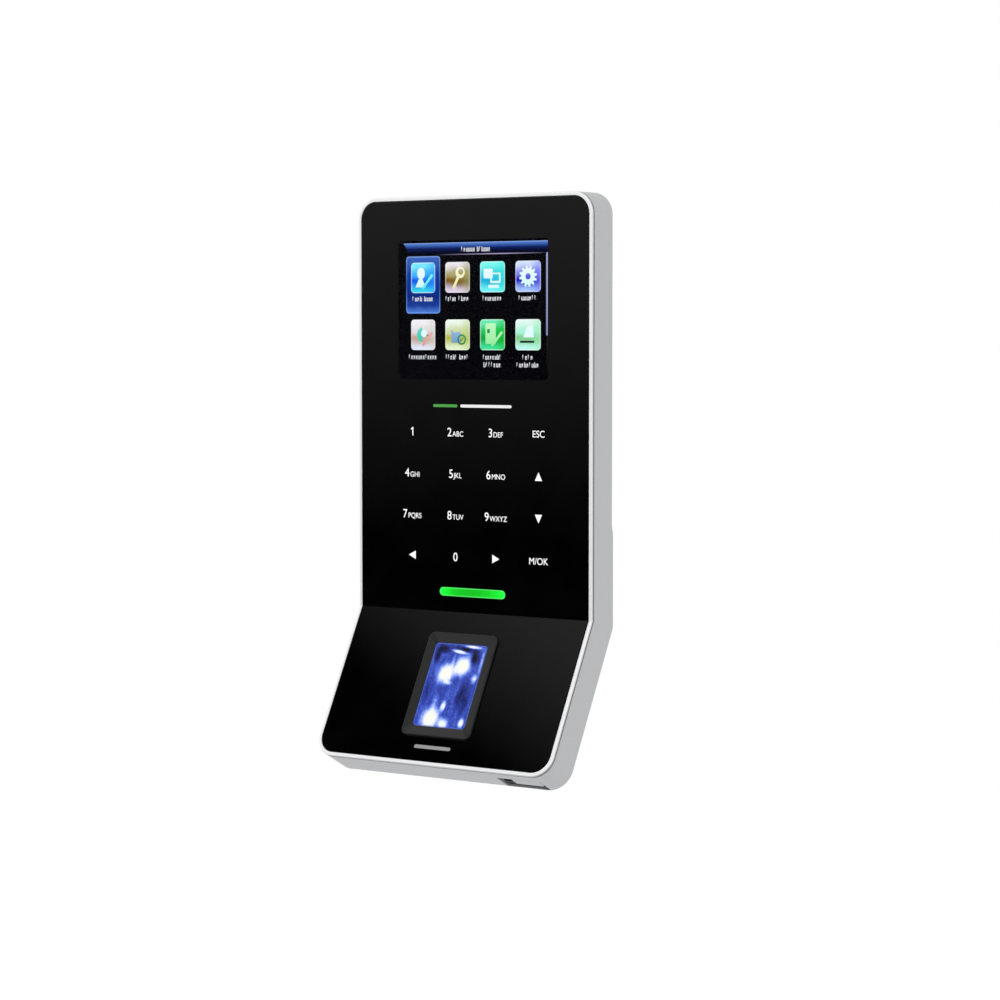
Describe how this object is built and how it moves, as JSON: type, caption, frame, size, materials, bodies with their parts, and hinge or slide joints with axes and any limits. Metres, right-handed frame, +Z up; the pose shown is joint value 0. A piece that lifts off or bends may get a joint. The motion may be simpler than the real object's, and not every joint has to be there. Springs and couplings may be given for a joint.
{
  "type": "fingerprint scanner terminal",
  "caption": "Wall-mounted access terminal: bent slim body with colour screen, touch keypad, status light and a lit fingerprint window on a tilted lower panel.",
  "frame": {"origin": "centre of the four wall screws, on the wall plane (the wall plate's back face)", "axes": "+X to the right seen from the front, +Y into the wall, +Z up along the upper front; the user stands on the -Y side"},
  "size_m": [0.078, 0.0407, 0.1581],
  "materials": {
    "silver_shell": "fine silver paint, satin",
    "bright_rim": "bright silver, polished",
    "gloss_black": "deep gloss black",
    "clear_window": "clear hard-coated acrylic",
    "lit_screen": "lit colour display",
    "green_light": "frosted light guide, lit green",
    "dark_frame": "fine-grained dark grey",
    "reader_glass": "polished optical glass, lit blue",
    "dark_plastic": "fine spark texture",
    "red_plastic": "moulded",
    "white_plastic": "moulded",
    "plate_steel": "zinc-plated sheet",
    "plated_steel": "nickel-plated sheet",
    "screw_steel": "zinc-plated",
    "spring_steel": "drawn wire",
    "copper": "bright",
    "seal_rubber": "foam rubber",
    "circuit_board": "solder mask",
    "chip_black": "moulded epoxy",
    "lamp": "small lamp resin",
    "blue_lamp": "small lamp resin",
    "flat_cable": "polyimide film"
  },
  "bodies": {
    "root": {"bezel_screws": "screw_steel", "board_parts": "plated_steel", "board_screws": "screw_steel", "cell_holder": "dark_plastic", "clock_cell": "plated_steel", "connector_pins": "copper", "crystal": "plated_steel", "display_window": "clear_window", "front_bezel": "bright_rim", "front_panel": "gloss_black", "housing_screws": "screw_steel", "key_leds": "lamp", "keypad_board": "circuit_board", "lcd_backlight": "white_plastic", "lcd_frame": "plated_steel", "lcd_panel": "lit_screen", "lcd_ribbon": "flat_cable", "main_board": "circuit_board", "main_shell": "silver_shell", "network_connector": "white_plastic", "port_bracket": "dark_plastic", "processor_chips": "chip_black", "reader_coil": "copper", "rear_housing": "dark_plastic", "rear_seal": "seal_rubber", "relay": "chip_black", "reset_spring": "spring_steel", "reset_switch": "chip_black", "ribbon_sockets": "white_plastic", "security_screw": "screw_steel", "sensor_bezel": "dark_frame", "sensor_board": "circuit_board", "sensor_housing": "dark_plastic", "sensor_leds": "blue_lamp", "sensor_lens": "dark_plastic", "sensor_prism": "reader_glass", "sensor_ribbon": "flat_cable", "speaker": "dark_plastic", "status_leds": "lamp", "status_light_guide": "green_light", "tamper_spring": "spring_steel", "tamper_switch": "chip_black", "usb_board": "circuit_board", "usb_hinge_pin": "screw_steel", "usb_ribbon": "flat_cable", "usb_shell": "plated_steel", "usb_tongue": "dark_plastic", "wall_connectors": "white_plastic", "wall_plate": "plate_steel"},
    "usb_flap": {"usb_flap": "silver_shell"},
    "tamper_plunger": {"tamper_plunger": "white_plastic"},
    "reset_button": {"reset_button": "red_plastic"}
  },
  "joints": [
    {"name": "usb_flap_hinge", "type": "hinge", "parent": "root", "child": "usb_flap", "pos_m": [0.0329, -0.03536, -0.09746], "axis": [0, -0.8829, 0.4695], "range_deg": [0, 95]},
    {"name": "tamper_slide", "type": "slide", "parent": "root", "child": "tamper_plunger", "axis": [0, -1, 0], "range_m": [0, 0.0006], "stiffness_N_per_m": 150, "springref_m": -0.0012, "deforming": ["tamper_spring"]},
    {"name": "reset_slide", "type": "slide", "parent": "root", "child": "reset_button", "axis": [0, -1, 0], "range_m": [0, 0.0004], "stiffness_N_per_m": 400, "springref_m": -0.0005, "deforming": ["reset_spring"]}
  ]
}
